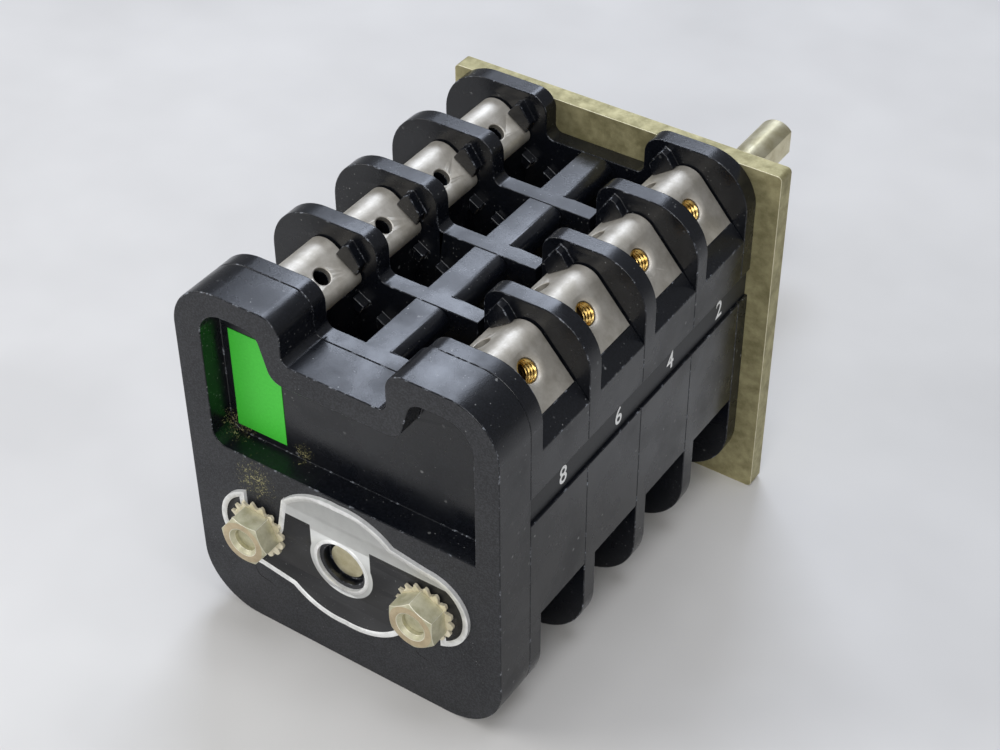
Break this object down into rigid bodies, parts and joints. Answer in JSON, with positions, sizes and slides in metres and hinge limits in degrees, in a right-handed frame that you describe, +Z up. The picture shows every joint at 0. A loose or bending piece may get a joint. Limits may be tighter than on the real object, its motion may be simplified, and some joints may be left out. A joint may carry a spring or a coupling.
{
  "type": "rotary cam switch",
  "caption": "Stacked rotary cam switch with moulded contact stages, sloped screw terminals on both sides, a steel front plate and a long flatted operating shaft.",
  "frame": {"origin": "shaft axis at the front plate's front face", "axes": "+Y along the shaft's free end, away from the stages; +Z up, towards the terminals; +X to the right seen from the rear cover"},
  "size_m": [0.076, 0.1794, 0.0827],
  "materials": {
    "black_phenolic": "semi-gloss moulded",
    "plated_steel": "yellow-olive chromate",
    "nickel_plated": "satin nickel plate",
    "strip_black": "matte",
    "yellow_zinc": "pale yellow chromate",
    "printed_aluminium": "black and silver print",
    "green_label": "paper",
    "white_nylon": "moulded",
    "spring_steel": "drawn",
    "brass": "plain",
    "silver_tip": "plain"
  },
  "bodies": {
    "base": {"rear_cover": "black_phenolic", "stage_housing_8_7": "black_phenolic", "stage_housing_6_5": "black_phenolic", "stage_housing_4_3": "black_phenolic", "stage_housing_2_1": "black_phenolic", "front_barrier": "black_phenolic", "front_plate": "plated_steel", "terminal_1": "nickel_plated", "terminal_2": "nickel_plated", "terminal_3": "nickel_plated", "terminal_4": "nickel_plated", "terminal_5": "nickel_plated", "terminal_6": "nickel_plated", "terminal_7": "nickel_plated", "terminal_8": "nickel_plated", "marker_strip_left": "strip_black", "marker_strip_right": "strip_black", "tie_bolts": "yellow_zinc", "tie_nuts": "yellow_zinc", "lock_washers": "yellow_zinc", "nameplate": "printed_aluminium", "inspection_label": "green_label", "leaf_spring_left": "spring_steel", "leaf_spring_right": "spring_steel", "fixed_tips": "silver_tip", "threaded_inserts": "brass", "return_spring_8_7": "spring_steel", "return_spring_6_5": "spring_steel", "return_spring_4_3": "spring_steel", "return_spring_2_1": "spring_steel"},
    "rotor": {"shaft": "plated_steel", "star_wheel": "white_nylon", "cam_8_7": "white_nylon", "cam_6_5": "white_nylon", "cam_4_3": "white_nylon", "cam_2_1": "white_nylon"},
    "bridge_8_7": {"follower_8_7": "white_nylon", "moving_contact_8_7": "brass"},
    "bridge_6_5": {"follower_6_5": "white_nylon", "moving_contact_6_5": "brass"},
    "bridge_4_3": {"follower_4_3": "white_nylon", "moving_contact_4_3": "brass"},
    "bridge_2_1": {"follower_2_1": "white_nylon", "moving_contact_2_1": "brass"}
  },
  "joints": [
    {"name": "shaft_turn", "type": "hinge", "parent": "base", "child": "rotor", "pos_m": [0, 0, 0], "axis": [0, 1, 0], "range_deg": [-45, 45], "deforming": ["leaf_spring_left", "leaf_spring_right"]},
    {"name": "contact_lift_8_7", "type": "slide", "parent": "base", "child": "bridge_8_7", "axis": [0, 0, 1], "range_m": [-0.0015, 0.0015], "deforming": ["return_spring_8_7"]},
    {"name": "contact_lift_6_5", "type": "slide", "parent": "base", "child": "bridge_6_5", "axis": [0, 0, 1], "range_m": [-0.0015, 0.0015], "deforming": ["return_spring_6_5"]},
    {"name": "contact_lift_4_3", "type": "slide", "parent": "base", "child": "bridge_4_3", "axis": [0, 0, 1], "range_m": [-0.0015, 0.0015], "deforming": ["return_spring_4_3"]},
    {"name": "contact_lift_2_1", "type": "slide", "parent": "base", "child": "bridge_2_1", "axis": [0, 0, 1], "range_m": [-0.0015, 0.0015], "deforming": ["return_spring_2_1"]}
  ],
  "couplings": [
    {"joint": "contact_lift_8_7", "follows": "shaft_turn", "m_per_rad": 0.0019097},
    {"joint": "contact_lift_6_5", "follows": "shaft_turn", "m_per_rad": -0.0019097},
    {"joint": "contact_lift_4_3", "follows": "shaft_turn", "m_per_rad": -0.0019097},
    {"joint": "contact_lift_2_1", "follows": "shaft_turn", "m_per_rad": 0.0019097}
  ]
}
